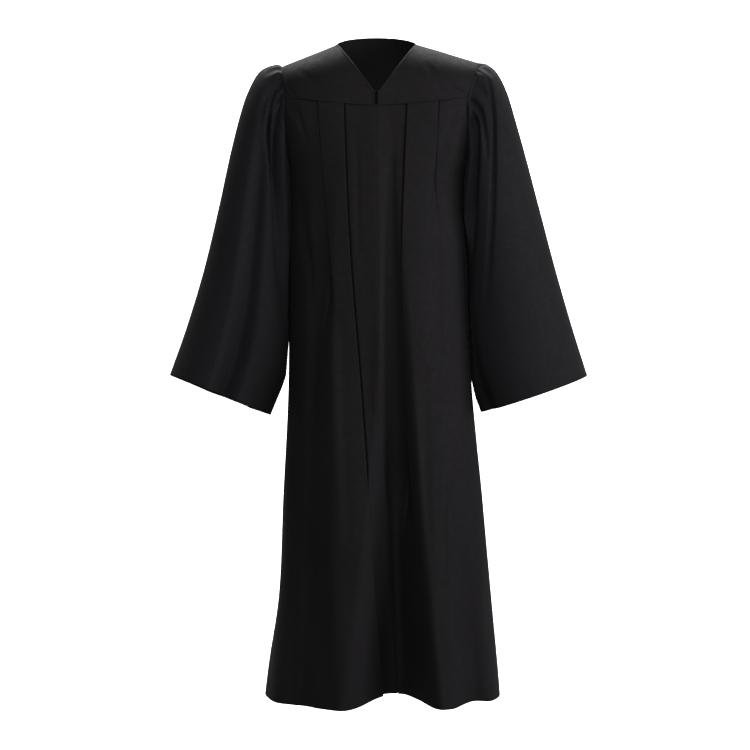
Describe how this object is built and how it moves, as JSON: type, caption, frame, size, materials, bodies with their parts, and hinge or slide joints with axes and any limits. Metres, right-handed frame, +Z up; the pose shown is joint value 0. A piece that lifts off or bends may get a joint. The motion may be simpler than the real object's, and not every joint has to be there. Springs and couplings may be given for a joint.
{
  "type": "graduation gown, filled out as worn and held at the wearer's shoulders",
  "caption": "Long black graduation gown, closed at the front with a hidden zip, pleated under a yoke, with wide open bell sleeves, hollow as if worn.",
  "frame": {"origin": "midway between the two neck points at the shoulder seams, where the gown sits on the wearer's shoulders", "axes": "+Z up, the front faces -Y, +X is the wearer's left"},
  "size_m": [0.834, 0.3986, 1.3152],
  "materials": {
    "gown_cloth": "matte black plain-weave polyester",
    "zip_tape": "black woven zip tape with moulded black coil",
    "zip_metal": "black enamel"
  },
  "bodies": {
    "gown": {"front_yoke_right": "gown_cloth", "front_yoke_left": "gown_cloth", "back_yoke": "gown_cloth", "front_right": "gown_cloth", "front_left": "gown_cloth", "back": "gown_cloth", "sleeve_right": "gown_cloth", "sleeve_left": "gown_cloth", "zip_tape_right": "zip_tape", "zip_tape_left": "zip_tape", "zip_chain": "zip_tape", "zip_slider": "zip_metal"},
    "pull": {"zip_pull": "zip_metal"}
  },
  "joints": [
    {"name": "zip_pull_hinge", "type": "hinge", "parent": "gown", "child": "pull", "pos_m": [0, -0.10175, -0.1062], "axis": [-1, 0, 0], "range_deg": [0, 160]}
  ]
}
